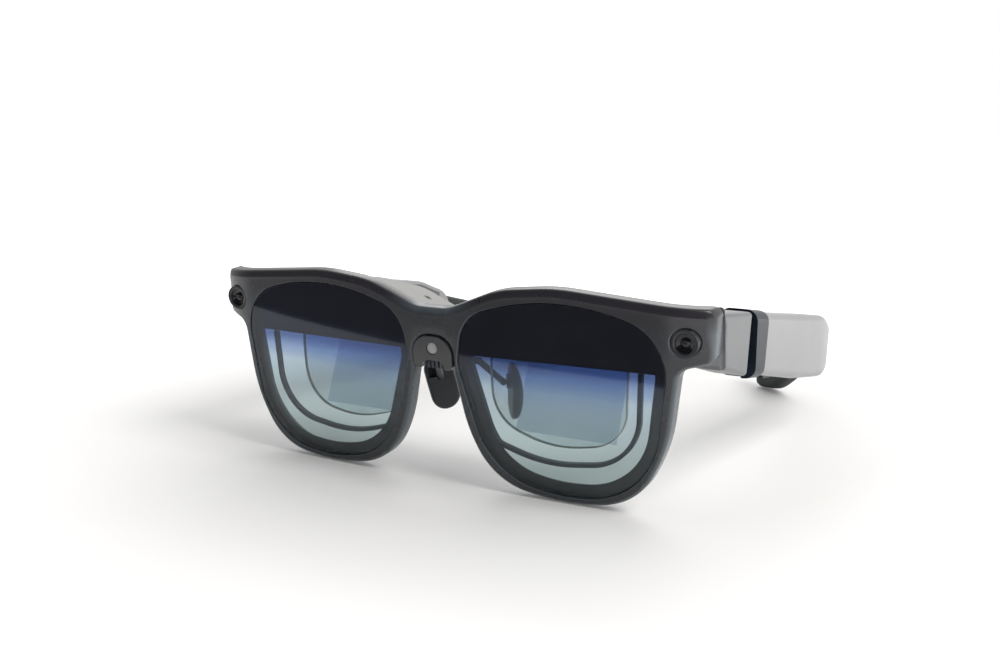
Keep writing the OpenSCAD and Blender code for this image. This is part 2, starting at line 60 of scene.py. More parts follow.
RIM = [(9.5, 16, 40), (17, 2.5, 19.5), (37, -0.81, 67.5), (56.5, 2, 17.5), (64.5, 18, 40.5),
       (67, 38, 3.5), (HALF - 0.5, 39.5, 2), (HALF, 52.5, 2.5), (35.5, 56, 51.5), (20, 54.5, 30),
       (5, 48.4, 9)]
NOTCH = [(6.2, 41, 5.2), (6.2, 31.2, 0.5)]
LENS = [(65.5, 46, 14), (36.5, 55, 60), (9.5, 47, 11), (7.5, 34, 10), (16, 5, 21.5),
        (36, 1.5, 43.5), (60.5, 3.5, 21)]
HOLDER = [(57.5, 38, 3), (9, 38, 3), (9.5, 14.3, 13), (31, 7.8, 40), (56.5, 11.3, 15)]
HOLDER_TOP, HOLDER_WALL, IN_RIM = 35.6, 1.1, 1.8
HOLDER_FRONT, HOLDER_BACK = 2.65, 4.15
COMBINER = [(51.5, 35.6, 2), (12, 35.6, 2), (12.6, 16.5, 11), (31, 11.3, 35), (50.8, 14, 11)]
PLATE = [(6, 31.8, 1.5), (6, 40.8, 5), (-6, 40.8, 5), (-6, 31.8, 1.5), (-3.6, 31.8, 0.3),
         (-2.9, 34.1, 2.0), (2.9, 34.1, 2.0), (3.6, 31.8, 0.3)]
DOT_Z = 37.4
SHELL_SIDE = [(SHELL_START, -15.3, 1), (74, -17.2, 60), (104, -17.4, 20), (118.5, -14.5, 7),
              (117.5, -2, 8), (100, 1.6, 30), (SHELL_START, 1, 1)]
COVER_END = 111.6
TIP_SIDE = [(104, -14.5, 1), (132, -15, 25), (150, -26.2, 8), (158.1, -26.4, 2.5),
            (158.1, -12.8, 3), (130, -4.5, 40), (104, -1.5, 1)]
ARM_SIDE = [(0, -12.23, 1), (28, -15.19, 0.8), (28, 1.12, 0.8), (0, -0.05, 1)]
LENS_MID_X, LENS_MID_Z = 31, 26      # middle of the combiner's ball, across and up
COMBINER_R, COMBINER_MID, COMBINER_T = 60, 66, 1.1
SLITS, SLIT_START, SLIT_PITCH, SLIT_W = 6, 66, 2, 1
KEYS = ((47.5, 2.4, -13.2), (58, 3.6, -13.8))    # middle, half length, foot of its hollow
PIVOT = (11.2, 21.0, 23.6)           # of the nose pads
PAD_HALF, PAD_HALF_H, PAD_CORNER, PAD_BALL = 4.3, 8.5, 4.2, 22
PAD_DROP, PAD_YAW, PAD_ROLL = 3.4, radians(-50), radians(12)


# ---------- places ----------
def on_face(x, y, z):
    return Vector((x, y * cos(LEAN) - z * sin(LEAN) - FOOT, y * sin(LEAN) + z * cos(LEAN))) * MM


def on_arm(x, a, h):
    return Vector((x, a * cos(SLOPE) + h * sin(SLOPE) - FOOT,
                   ARM_Z + h * cos(SLOPE) - a * sin(SLOPE))) * MM


def face_y(x, d):
    """Depth of the surface that lies d behind the bowed face."""
    x = abs(x)
    if x < TURN_X * (1 - d / FACE_R):
        return FACE_R - sqrt((FACE_R - d) ** 2 - x * x)
    x0 = (FACE_R - TURN_R) * TURN_X / FACE_R
    y0 = FACE_R - (FACE_R - TURN_R) * sqrt(1 - (TURN_X / FACE_R) ** 2)
    return y0 - sqrt(max((TURN_R - d) ** 2 - (x - x0) ** 2, 0))


def on_bowed(side=1):
    return lambda u, v, t: on_face(side * u, face_y(u, t), v)


def temple_x(a, t):
    """Outer side of the temple, t below it: straight with a bow, then round the bend."""
    if a <= BEND_START:
        return SIDE + (HALF + BOW - SIDE) * max(a - SHELL_START, 0) / (BEND_START - SHELL_START) - t
    r = BEND_R - t
    return BEND_X + sqrt(max(r * r - (a - BEND_START) ** 2, 0))


def on_temple(side):
    def place(u, v, t):
        if u <= BEND_START:
            return on_arm(side * temple_x(u, t), u, v)
        # beyond the bend's start, u is measured back and the depth is towards the bend's middle
        ang = asin(min((u - BEND_START) / (BEND_R - BEND_MID), 1))
        r = BEND_R - t
        return on_arm(side * (BEND_X + r * cos(ang)), BEND_START + r * sin(ang), v)
    return place


# ---------- outlines ----------
class Loop:
    """Closed outline with rounded corners. Calling it with d gives it set in by d, always with
    the same number of points."""

    def __init__(self, points, gap=1.3):
        self.points = points
        m = len(points)
        self.steps, self.fill = [], []
        for i in range(m):
            r, turn = self._arc(i, 0.0)[1:3]
            self.steps.append(max(3, min(36, ceil(max(r * abs(turn) / gap, abs(turn) / 0.16)))))
        ends = [self._ends(i) for i in range(m)]
        for i in range(m):
            run = (ends[(i + 1) % m][0] - ends[i][1]).length
            self.fill.append(int(run / gap))

    def _arc(self, i, d):
        p, m = self.points, len(self.points)
        a, b, c = (Vector(p[k % m][:2]) for k in (i - 1, i, i + 1))
        u, v = (a - b).normalized(), (c - b).normalized()
        half = acos(max(-1, min(1, u.dot(v)))) / 2
        side = 1 if (-u).cross(v) > 0 else -1
        r = max(p[i][2], d + 0.05) if side > 0 else p[i][2]
        mid = b + (u + v).normalized() * r / sin(half)
        start = b + u * r / (sin(half) / cos(half)) - mid
        return mid, r, (pi - 2 * half) * side, atan2(start.y, start.x), side

    def _point(self, i, d, k):
        mid, r, turn, a0, side = self._arc(i, d)
        a = a0 + turn * k
        return mid + Vector((cos(a), sin(a))) * (r - side * d)

    def _ends(self, i):
        return self._point(i, 0.0, 0), self._point(i, 0.0, 1)

    def __call__(self, d=0.0):
        out, m = [], len(self.points)
        for i in range(m):
            n = self.steps[i]
            out += [self._point(i, d, k / n) for k in range(n + 1)]
            a, b = out[-1], self._point((i + 1) % m, d, 0)
            k = self.fill[i]
            out += [a.lerp(b, (j + 1) / (k + 1)) for j in range(k)]
        return out


def round_loop(x, z, r):
    """Circle, called as a Loop is."""
    def ring(d=0.0, n=40):
        angles = [2 * pi * i / n for i in range(n)]
        return [Vector((x + (r - d) * cos(a), z + (r - d) * sin(a))) for a in angles]
    return ring


def fixed_loop(points):
    """Outline that stays the same at every inset."""
    return lambda d=0.0: points


def eased(loop, share):
    """The outline with its insets cut down, by share(point), where there is less room."""
    def ring(d=0.0):
        return [a.lerp(b, share(a)) for a, b in zip(loop(0), loop(d))]
    return ring


def stopped(loop, inset, u):
    """The outline, whose rings from the given inset on go no farther back than u."""
    return lambda d=0.0: [Vector((min(p.x, u), p.y)) if d >= inset else p for p in loop(d)]


def flipped(p):
    """The corners mirrored left to right, in an order that keeps the turning sense."""
    return [(-q[0],) + tuple(q[1:]) for q in reversed(p)]


def cut_above(points, z):
    """The part of a closed outline below height z."""
    out = []
    for i, p in enumerate(points):
        q = points[(i + 1) % len(points)]
        if p.y <= z:
            out.append(p)
        if (p.y - z) * (q.y - z) < 0:
            out.append(p.lerp(q, (z - p.y) / (q.y - p.y)))
    return out


def kept_in(points, ring):
    """The points, with those outside the ring brought back to the nearest place on it."""
    out = []
    for p in points:
        if not inside(p, ring):
            near = []
            for a, b in zip(ring, ring[1:] + ring[:1]):
                k = (p - a).dot(b - a) / max((b - a).length_squared, 1e-9)
                near.append(a.lerp(b, max(0, min(1, k))))
            p = min(near, key=lambda q: (q - p).length)
        if not out or (p - out[-1]).length > 0.05:
            out.append(p)
    return out


def from_top(points):
    """Turns a closed list so that it runs from one end of its flat top round to the other."""
    m, top = len(points), max(p.y for p in points) - 0.01
    i = next(i for i in range(m) if points[i].y >= top and points[i - 1].y >= top)
    return points[i:] + points[:i]


def edge_in(d, t, r, s=1, n=5):
    """Rounded edge from the front face at t down to the side at inset d."""
    angles = [pi / 2 * k / n for k in range(n + 1)]
    return [(d + s * r * 1.2, t)] + [(d + s * r * (1 - sin(a)), t + r * (1 - cos(a))) for a in angles]


def edge_out(d, t, r, s=1, n=5):
    """The same edge at the back face."""
    return [(a, 2 * t - b) for a, b in reversed(edge_in(d, t, r, s, n))]


def inside(p, ring):
    """Whether the point lies within the closed ring."""
    hit, j = False, len(ring) - 1
    for i, q in enumerate(ring):
        w = ring[j]
        if (q.y > p.y) != (w.y > p.y) and p.x < (w.x - q.x) * (p.y - q.y) / (w.y - q.y) + q.x:
            hit = not hit
        j = i
    return hit


SLIVER = 0.002                       # mm2: a region of a cap with no larger triangle is left out


def cap(rings, step):
    """Triangles that fill the first ring around the others, with points inside it."""
    pts = [p for ring in rings for p in ring]
    edges, k = [], 0
    for ring in rings:
        edges += [(k + i, k + (i + 1) % len(ring)) for i in range(len(ring))]
        k += len(ring)
    lo = Vector((min(p.x for p in rings[0]), min(p.y for p in rings[0])))
    hi = Vector((max(p.x for p in rings[0]), max(p.y for p in rings[0])))
    grid = {}
    for p in pts:
        grid.setdefault((int(p.x // step), int(p.y // step)), []).append(p)
    extra = []
    row = 0
    y = lo.y + step / 2
    while y < hi.y:
        x = lo.x + step * (0.5 if row % 2 else 0.1)
        while x < hi.x:
            p = Vector((x, y))
            cell = (int(x // step), int(y // step))
            close = any((p - q).length < step * 0.55 for a in (-1, 0, 1) for b in (-1, 0, 1)
                        for q in grid.get((cell[0] + a, cell[1] + b), ()))
            if not close and inside(p, rings[0]) and not any(inside(p, r) for r in rings[1:]):
                extra.append(p)
            x += step
        y += step * 0.87
        row += 1
    new, new_edges, tris, source, edge_source = geometry.delaunay_2d_cdt(
        pts + extra, edges, [], 0, 1e-6, True)[:5]
    walls = {frozenset(e) for e, given in zip(new_edges, edge_source) if given}
    # regions of triangles that an outline doesn't part; each is kept or left out as a whole
    beside = {}
    for k, tri in enumerate(tris):
        for i in range(3):
            beside.setdefault(frozenset((tri[i], tri[i - 1])), []).append(k)
    out, seen = [], set()
    for k in range(len(tris)):
        if k in seen:
            continue
        region, todo = [], [k]
        seen.add(k)
        while todo:
            a = todo.pop()
            region.append(a)
            for i in range(3):
                side = frozenset((tris[a][i], tris[a][i - 1]))
                if side not in walls:
                    for b in beside[side]:
                        if b not in seen:
                            seen.add(b)
                            todo.append(b)
        big = max(region, key=lambda a: geometry.area_tri(*(new[i].to_3d() for i in tris[a])))
        if geometry.area_tri(*(new[i].to_3d() for i in tris[big])) < SLIVER:
            continue
        c = sum((new[i] for i in tris[big]), Vector((0, 0))) / 3
        if inside(c, rings[0]) and not any(inside(c, r) for r in rings[1:]):
            out += [[source[i][0] for i in tris[a]] for a in region]
    return extra, out


def build(name, verts, faces, soft=40, attribute=None):
    """Smooth-shaded object, sharp where faces meet at more than soft degrees."""
    mesh = bpy.data.meshes.new(name)
    mesh.from_pydata(verts, [], faces)
    mesh.validate()
    bm = bmesh.new()
    bm.from_mesh(mesh)
    bmesh.ops.recalc_face_normals(bm, faces=bm.faces)
    bm.to_mesh(mesh)
    bm.free()
    if attribute:
        layer = mesh.attributes.new("edge", "FLOAT", "POINT")
        layer.data.foreach_set("value", attribute)
    for f in mesh.polygons:
        f.use_smooth = True
    mesh.set_sharp_from_angle(angle=radians(soft))
    o = bpy.data.objects.new(name, mesh)
    bpy.context.scene.collection.objects.link(o)
    return o


def slab(name, loops, place, step, soft=40):
    """Solid plate. loops holds (outline, profile) pairs, the outer one first. A profile is a list
    of (inset, depth), from the front face to the back face. place turns (u, v, depth) into a point.
    The edge attribute is 0 on the flat faces and 1 on the sides."""
    verts, faces, edge = [], [], []
    first, last = [], []
    for loop, profile in loops:
        for k, (d, t) in enumerate(profile):
            ring = loop(d)
            size = len(ring)
            base = len(verts)
            verts += [place(p.x, p.y, t) for p in ring]
            edge += [0.0 if k < 2 or k > len(profile) - 3 else 1.0] * size
            if k == 0:
                first.append((ring, base))
            if k == len(profile) - 1:
                last.append((ring, base))
            if k:
                prev = base - size
                faces += [(prev + i, prev + (i + 1) % size, base + (i + 1) % size, base + i)
                          for i in range(size)]
    outer_profile = loops[0][1]
    for rings, t in ((first, outer_profile[0][1]), (last, outer_profile[-1][1])):
        extra, tris = cap([r for r, _ in rings], step)
        index = [b + i for r, b in rings for i in range(len(r))]
        index += list(range(len(verts), len(verts) + len(extra)))
        verts += [place(p.x, p.y, t) for p in extra]
        edge += [0.0] * len(extra)
        faces += [tuple(index[i] for i in tri) for tri in tris]
    return build(name, verts, faces, soft, edge)


def turned(name, profile, place, n=48):
    """Round piece. profile is a list of (radius, depth); radius 0 closes an end."""
    verts, faces, rings = [], [], []
    for r, t in profile:
        if r == 0:
            rings.append([len(verts)])
            verts.append(place(0, 0, t))
        else:
            rings.append(list(range(len(verts), len(verts) + n)))
            verts += [place(r * cos(2 * pi * i / n), r * sin(2 * pi * i / n), t) for i in range(n)]
    for a, b in zip(rings, rings[1:]):
        for i in range(n):
            j = (i + 1) % n
            if len(a) == 1:
                faces.append((a[0], b[i], b[j]))
            elif len(b) == 1:
                faces.append((a[i], a[j], b[0]))
            else:
                faces.append((a[i], a[j], b[j], b[i]))
    return build(name, verts, faces, 35)


# ---------- materials ----------
BROW_SHADE_Z = (47, 51)                    # heights between which the front's top takes its painted shade colour
GLOSS_IOR = 1.5


def tree(name):
    """New material, its node tree and its shader."""
    m = bpy.data.materials.new(name)
    m.use_nodes = True
    t = m.node_tree
    return m, t, t.nodes["Principled BSDF"]


def node(t, kind, **values):
    """New node, with the values set on its settings or, failing that, on its sockets."""
    n = t.nodes.new(kind)
    for k, v in values.items():
        if hasattr(n, k):
            setattr(n, k, v)
        else:
            n.inputs[k.replace("_", " ")].default_value = v
    return n


def noise(t, scale, detail=3.0, rough=0.55):
    c = node(t, "ShaderNodeTexCoord")
    n = node(t, "ShaderNodeTexNoise", Scale=scale, Detail=detail, Roughness=rough)
    t.links.new(c.outputs["Object"], n.inputs["Vector"])
    return n.outputs["Fac"]


def ramp(t, value, stops):
    r = node(t, "ShaderNodeValToRGB")
    e = r.color_ramp.elements
    while len(e) < len(stops):
        e.new(0.5)
    for k, (at, colour) in zip(e, stops):
        k.position = at
        k.color = (*colour, 1)
    t.links.new(value, r.inputs["Fac"])
    return r.outputs["Color"]


def blended(t, value, a, b):
    """Colour that goes from the link a to the plain colour b with the value."""
    mix = node(t, "ShaderNodeMix", data_type="RGBA")
    t.links.new(value, mix.inputs["Factor"])
    t.links.new(a, mix.inputs["A"])
    mix.inputs["B"].default_value = (*b, 1)
    return mix.outputs["Result"]


def height(t):
    """Height in the row frame, in metres."""
    c = node(t, "ShaderNodeTexCoord")
    s = node(t, "ShaderNodeSeparateXYZ")
    t.links.new(c.outputs["Object"], s.inputs["Vector"])
    return s.outputs["Z"]


def moulded(name, dark, light, rough, grain=0.02, scale=900, edge=None, brow_shade=None, **sockets):
    """Moulded plastic: slow colour variation, fine texture in bump and roughness. edge is the colour of
    the sides, painted lighter as a highlight, and the brow colour that of the top of the front, painted
    darker as shade."""
    spread = 35
    m, t, b = tree(name)
    colour = ramp(t, noise(t, spread), [(0.35, dark), (0.68, light)])
    # painted highlight: the sides, where the edge attribute is 1, take the lighter edge colour
    if edge:
        a = node(t, "ShaderNodeAttribute", attribute_name="edge")
        colour = blended(t, a.outputs["Fac"], colour, edge)
    # painted shade: the top of the front is darker, blended in by height
    if brow_shade:
        up = node(t, "ShaderNodeMapRange", From_Min=BROW_SHADE_Z[0] * MM, From_Max=BROW_SHADE_Z[1] * MM)
        t.links.new(height(t), up.inputs["Value"])
        colour = blended(t, up.outputs["Result"], colour, brow_shade)
    t.links.new(colour, b.inputs["Base Color"])
    fine = noise(t, scale, 2.0)
    r = node(t, "ShaderNodeMapRange", To_Min=rough[0], To_Max=rough[1])
    t.links.new(noise(t, spread * 2.3, 4.0), r.inputs["Value"])
    t.links.new(r.outputs["Result"], b.inputs["Roughness"])
    bump = node(t, "ShaderNodeBump", Strength=grain * 10, Distance=0.00004)
    t.links.new(fine, bump.inputs["Height"])
    t.links.new(bump.outputs["Normal"], b.inputs["Normal"])
    for k, v in sockets.items():
        b.inputs[k.replace("_", " ")].default_value = v
    return m


def height_colour(t, stops, z0, z1):
    """Colour that goes through the stops between two heights, with a slight waviness."""
    w = node(t, "ShaderNodeMath", operation="MULTIPLY_ADD")
    t.links.new(noise(t, 60, 2.0), w.inputs[0])
    w.inputs[1].default_value = 0.8 * MM
    t.links.new(height(t), w.inputs[2])
    r = node(t, "ShaderNodeMapRange", From_Min=z0 * MM, From_Max=z1 * MM)
    t.links.new(w.outputs["Value"], r.inputs["Value"])
    return ramp(t, r.outputs["Result"], stops)


def height_tint(name, stops, z0, z1, alpha, edge=None):
    """Clear material, whose tint changes with height in the row frame. alpha is how much of the light
    behind it is held back, and edge a colour painted on its sides as a highlight, where it holds back more
    light."""
    m, t, b = tree(name)
    colour = height_colour(t, stops, z0, z1)
    clear = node(t, "ShaderNodeBsdfTransparent")
    t.links.new(colour, clear.inputs["Color"])
    mix = node(t, "ShaderNodeMixShader")
    mix.inputs["Fac"].default_value = alpha
    t.links.new(clear.outputs["BSDF"], mix.inputs[1])
    t.links.new(b.outputs["BSDF"], mix.inputs[2])
    t.links.new(mix.outputs["Shader"], t.nodes["Material Output"].inputs["Surface"])
    # painted highlight: the sides take the edge colour and hold back more of the light behind
    if edge:
        a = node(t, "ShaderNodeAttribute", attribute_name="edge")
        t.links.new(blended(t, a.outputs["Fac"], colour, edge), b.inputs["Base Color"])
        f = node(t, "ShaderNodeMapRange", To_Min=alpha, To_Max=0.95)
        t.links.new(a.outputs["Fac"], f.inputs["Value"])
        t.links.new(f.outputs["Result"], mix.inputs["Fac"])
    else:
        t.links.new(colour, b.inputs["Base Color"])
    b.inputs["Roughness"].default_value = 0.03
    return m


def coated_tint(name, stops, z0, z1):
    """Tinted clear sheet with a clear gloss, whose tint changes with height."""
    m, t, b = tree(name)
    clear = node(t, "ShaderNodeBsdfTransparent")
    t.links.new(height_colour(t, stops, z0, z1), clear.inputs["Color"])
    b.inputs["Base Color"].default_value = (0.93, 0.95, 1.0, 1)
    b.inputs["Metallic"].default_value = 1.0
    b.inputs["Roughness"].default_value = 0.04
    # the same gloss from behind, where the sheet's index counts the other way round
    back = node(t, "ShaderNodeNewGeometry")
    index = node(t, "ShaderNodeMath", operation="MULTIPLY_ADD")
    t.links.new(back.outputs["Backfacing"], index.inputs[0])
    index.inputs[1].default_value, index.inputs[2].default_value = 1 / GLOSS_IOR - GLOSS_IOR, GLOSS_IOR
    gloss = node(t, "ShaderNodeFresnel")
    t.links.new(index.outputs["Value"], gloss.inputs["IOR"])
    mix = node(t, "ShaderNodeMixShader")
    t.links.new(gloss.outputs["Fac"], mix.inputs["Fac"])
    t.links.new(clear.outputs["BSDF"], mix.inputs[1])
    t.links.new(b.outputs["BSDF"], mix.inputs[2])
    t.links.new(mix.outputs["Shader"], t.nodes["Material Output"].inputs["Surface"])
    return m


def metal(name, colour, rough=0.3):
    """Metal with fine uneven roughness."""
    m, t, b = tree(name)
    n = noise(t, 500, 4.0, 0.6)
    dull = tuple(c * 0.8 for c in colour)
    t.links.new(ramp(t, n, [(0.3, dull), (0.7, colour)]), b.inputs["Base Color"])
    r = node(t, "ShaderNodeMapRange", To_Min=rough * 0.7, To_Max=rough * 1.3)
    t.links.new(n, r.inputs["Value"])
    t.links.new(r.outputs["Result"], b.inputs["Roughness"])
    b.inputs["Metallic"].default_value = 1.0
    return m


# The front's bevels and sides get a lighter bluish painted highlight, and its top a darker painted shade
GREY = moulded("frame_grey", (0.028, 0.031, 0.036), (0.034, 0.038, 0.044), (0.24, 0.31), 0.01,
               edge=(0.088, 0.108, 0.122), brow_shade=(0.026, 0.024, 0.030))
ARM = moulded("arm_grey", (0.145, 0.150, 0.156), (0.17, 0.176, 0.184), (0.3, 0.38), 0.015)
LACQUER = moulded("temple_lacquer", (0.30, 0.303, 0.309), (0.335, 0.338, 0.344), (0.32, 0.4), 0.02)
INNER = moulded("inner_grey", (0.10, 0.105, 0.115), (0.13, 0.135, 0.145), (0.45, 0.55), 0.05)
COVER = moulded("cover_grey", (0.23, 0.226, 0.216), (0.265, 0.259, 0.247), (0.4, 0.5), 0.03)
BLACK = moulded("matt_black", (0.014, 0.014, 0.016), (0.02, 0.02, 0.023), (0.45, 0.6), 0.05)
MASK = moulded("mask_black", (0.007, 0.007, 0.008), (0.009, 0.009, 0.010), (0.28, 0.34), 0.005)
PLATE_DARK = moulded("plate_dark", (0.045, 0.046, 0.05), (0.055, 0.056, 0.06), (0.25, 0.33), 0.01,
                     Coat_Weight=0.3, Coat_Roughness=0.08)
COLLAR = moulded("collar_dark", (0.008, 0.012, 0.02), (0.014, 0.022, 0.034), (0.28, 0.34), 0.005,
                Specular_IOR_Level=0.12)
RUBBER = moulded("tip_rubber", (0.014, 0.02, 0.02), (0.022, 0.03, 0.03), (0.55, 0.68), 0.08, scale=1600)
SILICONE = moulded("pad_silicone", (0.035, 0.036, 0.04), (0.05, 0.051, 0.056), (0.35, 0.45), 0.04)
KEY = moulded("key_dark", (0.02, 0.022, 0.026), (0.03, 0.032, 0.037), (0.35, 0.45), 0.03)
BOARD = moulded("board_green", (0.01, 0.06, 0.03), (0.015, 0.09, 0.045), (0.3, 0.4), 0.03)
RING = moulded("ring_grey", (0.018, 0.020, 0.024), (0.026, 0.028, 0.033), (0.2, 0.28), 0.005)
DOT = moulded("dot_grey", (0.36, 0.36, 0.37), (0.42, 0.42, 0.43), (0.45, 0.55), 0.02)
CAMERA = moulded("camera_glass", (0.004, 0.004, 0.006), (0.010, 0.007, 0.012), (0.12, 0.16), 0.0)
STEEL = metal("hinge_steel", (0.5, 0.51, 0.53))
HOLDER_GREY = moulded("holder_grey", (0.06, 0.064, 0.078), (0.075, 0.08, 0.095), (0.4, 0.5), 0.02)
GOLD = metal("contact_gold", (0.9, 0.68, 0.3), 0.2)
# The lens's pale teal tint is the glass's own; its blue towards the top is painted reflection of the
# coating
LENS_TINT_AND_REFLECTION = coated_tint("lens_tint", [
    (0.0, (0.61, 0.68, 0.67)), (0.45, (0.65, 0.72, 0.73)), (0.78, (0.62, 0.70, 0.75)),
    (0.91, (0.44, 0.53, 0.68)), (1.0, (0.24, 0.32, 0.50))], 3, 36)
# The combiner's colours by height are painted reflection, and the cream on its sides a painted highlight
COMBINER_REFLECTION = height_tint("combiner_tint", [
    (0.0, (0.84, 0.92, 0.94)), (0.5, (0.93, 0.93, 0.92)), (1.0, (0.78, 0.86, 0.97))], 10, 34, 0.08,
    edge=(0.75, 0.66, 0.48))
CLEAR = height_tint("optic_clear", [(0.0, (0.86, 0.9, 0.92)), (1.0, (0.8, 0.85, 0.95))], 5, 45, 0.06)

slots = {
    "frame_plastic": GREY, "housing_plastic": BLACK, "cover_plastic": COVER, "arm_plastic": ARM,
    "temple_lacquer": LACQUER, "inner_plastic": INNER, "collar_gloss": COLLAR, "lens_glass": LENS_TINT_AND_REFLECTION,
    "mask_film": MASK, "optic_glass": CLEAR, "holder_plastic": HOLDER_GREY, "display_glass": CAMERA,
    "board_laminate": BOARD, "camera_glass": CAMERA, "bezel_plastic": RING, "window_plastic": DOT,
    "pad_silicone": SILICONE, "tip_rubber": RUBBER, "hinge_steel": STEEL, "contact_gold": GOLD,
    "key_plastic": KEY}
slot_of = {s["node"]: s["material_slot"] for s in frame["record"]["subparts"]}
body_of = {n: b for b, ns in frame["record"]["behaviour"]["bodies"].items() for n in ns}

for name, o in nodes.items():
    o.data.materials.clear()
    o.data.materials.append(slots[slot_of[name]])
    for f in o.data.polygons:
        f.use_smooth = True
    o.data.set_sharp_from_angle(angle=radians(32))


def soften(name, width):
    """Small rounded edges on a CAD node."""
    m = nodes[name].modifiers.new("edges", "BEVEL")
    m.width = width * MM
    m.segments = 3
    m.limit_method = "ANGLE"
    m.angle_limit = radians(38)
    m.harden_normals = True


def finish_piece(o, material, stands_for):
    """Gives a piece its material and the body of the CAD node that it stands for, and hides that node."""
    o.data.materials.append(material)
    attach(o, body_of[stands_for])
    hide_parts(stands_for)


SIDES = (("left", 1), ("right", -1))

# ---------- front ----------
# The chamfer is at its full width on the brow, and half as wide where the rims are narrow
whole_rim = eased(Loop([NOTCH[1]] + RIM + flipped([NOTCH[0], NOTCH[1]] + RIM) + [NOTCH[0]], gap=1.2),
                  lambda p: 0.5 + 0.5 * min(max((p.y - 43) / 4, 0), 1))
# Wide shallow chamfer with a crease along its inner side
BROW = [(2.0, 0), (1.85, 0.02), (0.5, 0.62), (0.25, 0.8), (0.08, 1.05), (0, 1.4)]
holes = []
for _, s in SIDES:
    lens = Loop(LENS if s > 0 else flipped(LENS), gap=1.2)
    holes.append((lens, edge_in(-0.1, 0, 0.18, -1) + [(-0.1, SEAT), (RIM_DEPTH, SEAT)]
                  + edge_out(RIM_DEPTH, FRAME_D, 0.6, -1)))
    holes.append((round_loop(s * CAM_X, CAM_Z, CAM_BORE),
                  edge_in(0, 0, 0.3, -1) + edge_out(0, FRAME_D, 0.3, -1)))
front = slab("front", [(whole_rim, BROW + edge_out(0, FRAME_D, 0.9, 1, 6))] + holes,
             on_bowed(), step=2.0)
finish_piece(front, GREY, "front_frame")

for side, s in SIDES:
    lens = Loop(LENS)
    o = slab("lens_glass_" + side,
             [(lens, edge_in(0, LENS_FRONT, 0.3) + edge_out(0, LENS_BACK, 0.15))], on_bowed(s), step=3.0)
    finish_piece(o, LENS_TINT_AND_REFLECTION, "lens_" + side)
    window = cut_above(Loop(LENS)(3.2), 36.2)
    band = (LENS_BACK + 0.02, SEAT - 0.02)
    o = slab("lens_band_" + side, [
        (lens, [(0.1, band[0]), (0.1, band[1])]),
        (fixed_loop(window), [(0, band[0]), (0, band[1])])], on_bowed(s), step=3.0)
    finish_piece(o, MASK, "lens_mask_" + side)
    arms = [cut_above(kept_in(Loop(HOLDER, gap=0.8)(d), Loop(LENS, gap=0.5)(IN_RIM + d)), HOLDER_TOP)
            for d in (0, HOLDER_WALL)]
    arms = [from_top(a) for a in arms]
    outline = fixed_loop(arms[0] + arms[1][::-1])
    o = slab("holder_" + side, [(outline, [(0, HOLDER_FRONT), (0, HOLDER_BACK)])], on_bowed(s), step=3.0)
    edges = o.modifiers.new("edges", "BEVEL")
    edges.width, edges.segments, edges.limit_method = 0.2 * MM, 2, "ANGLE"
    finish_piece(o, HOLDER_GREY, "combiner_holder_" + side)

    def on_sphere(x, z, t, s=s):
        r = COMBINER_R - t
        back = sqrt(r * r - (x - LENS_MID_X) ** 2 - (z - LENS_MID_Z) ** 2)
        return on_face(s * x, COMBINER_MID - back, z)
    o = slab("combiner_glass_" + side,
             [(Loop(COMBINER), edge_in(0, 0, 0.25) + edge_out(0, COMBINER_T, 0.25))],
             on_sphere, step=3.0)
    finish_piece(o, COMBINER_REFLECTION, "combiner_" + side)

# ---------- bridge ----------
o = slab("bridge_plate", [
    (Loop(PLATE, gap=0.8), edge_in(0, 0.1, 0.3) + edge_out(0, 3, 0.2)),
    (round_loop(0, DOT_Z, 1.65), edge_in(0, 0.1, 0.12, -1) + edge_out(0, 3, 0.1, -1))],
    on_bowed(), step=1.5)
finish_piece(o, PLATE_DARK, "camera_cover")
soften("nose_bracket", 0.12)
o = turned("bridge_dot",
           [(0, 0.25), (0.9, 0.27), (1.35, 0.33), (1.55, 0.45), (1.58, 0.7), (1.58, 1.5), (0, 1.5)],
           lambda x, z, t: on_face(x, t, z + DOT_Z))
finish_piece(o, DOT, "camera_window")

# ---------- cameras in the endpieces ----------
for side, s in SIDES:
    def at_camera(x, z, t, s=s):
        return on_face(s * (CAM_X + x), t, CAM_Z + z)
    o = turned("camera_bezel_" + side,
               [(2.35, 3.4), (2.4, 2.98), (2.65, 2.8), (3.2, 2.74), (3.42, 2.8), (3.5, 3.0),
                (3.5, 6.6), (2.35, 6.6), (2.35, 3.4)], at_camera)
    finish_piece(o, RING, "camera_ring_" + side)
    o = turned("camera_eye_" + side,
               [(0, 3.3), (0.5, 3.32), (0.9, 3.42), (1.1, 3.6), (1.25, 3.7), (1.6, 3.5),
                (2.0, 3.3), (2.26, 3.2), (2.3, 3.5), (2.3, 7), (0, 7)], at_camera)
    finish_piece(o, CAMERA, "depth_camera_" + side)

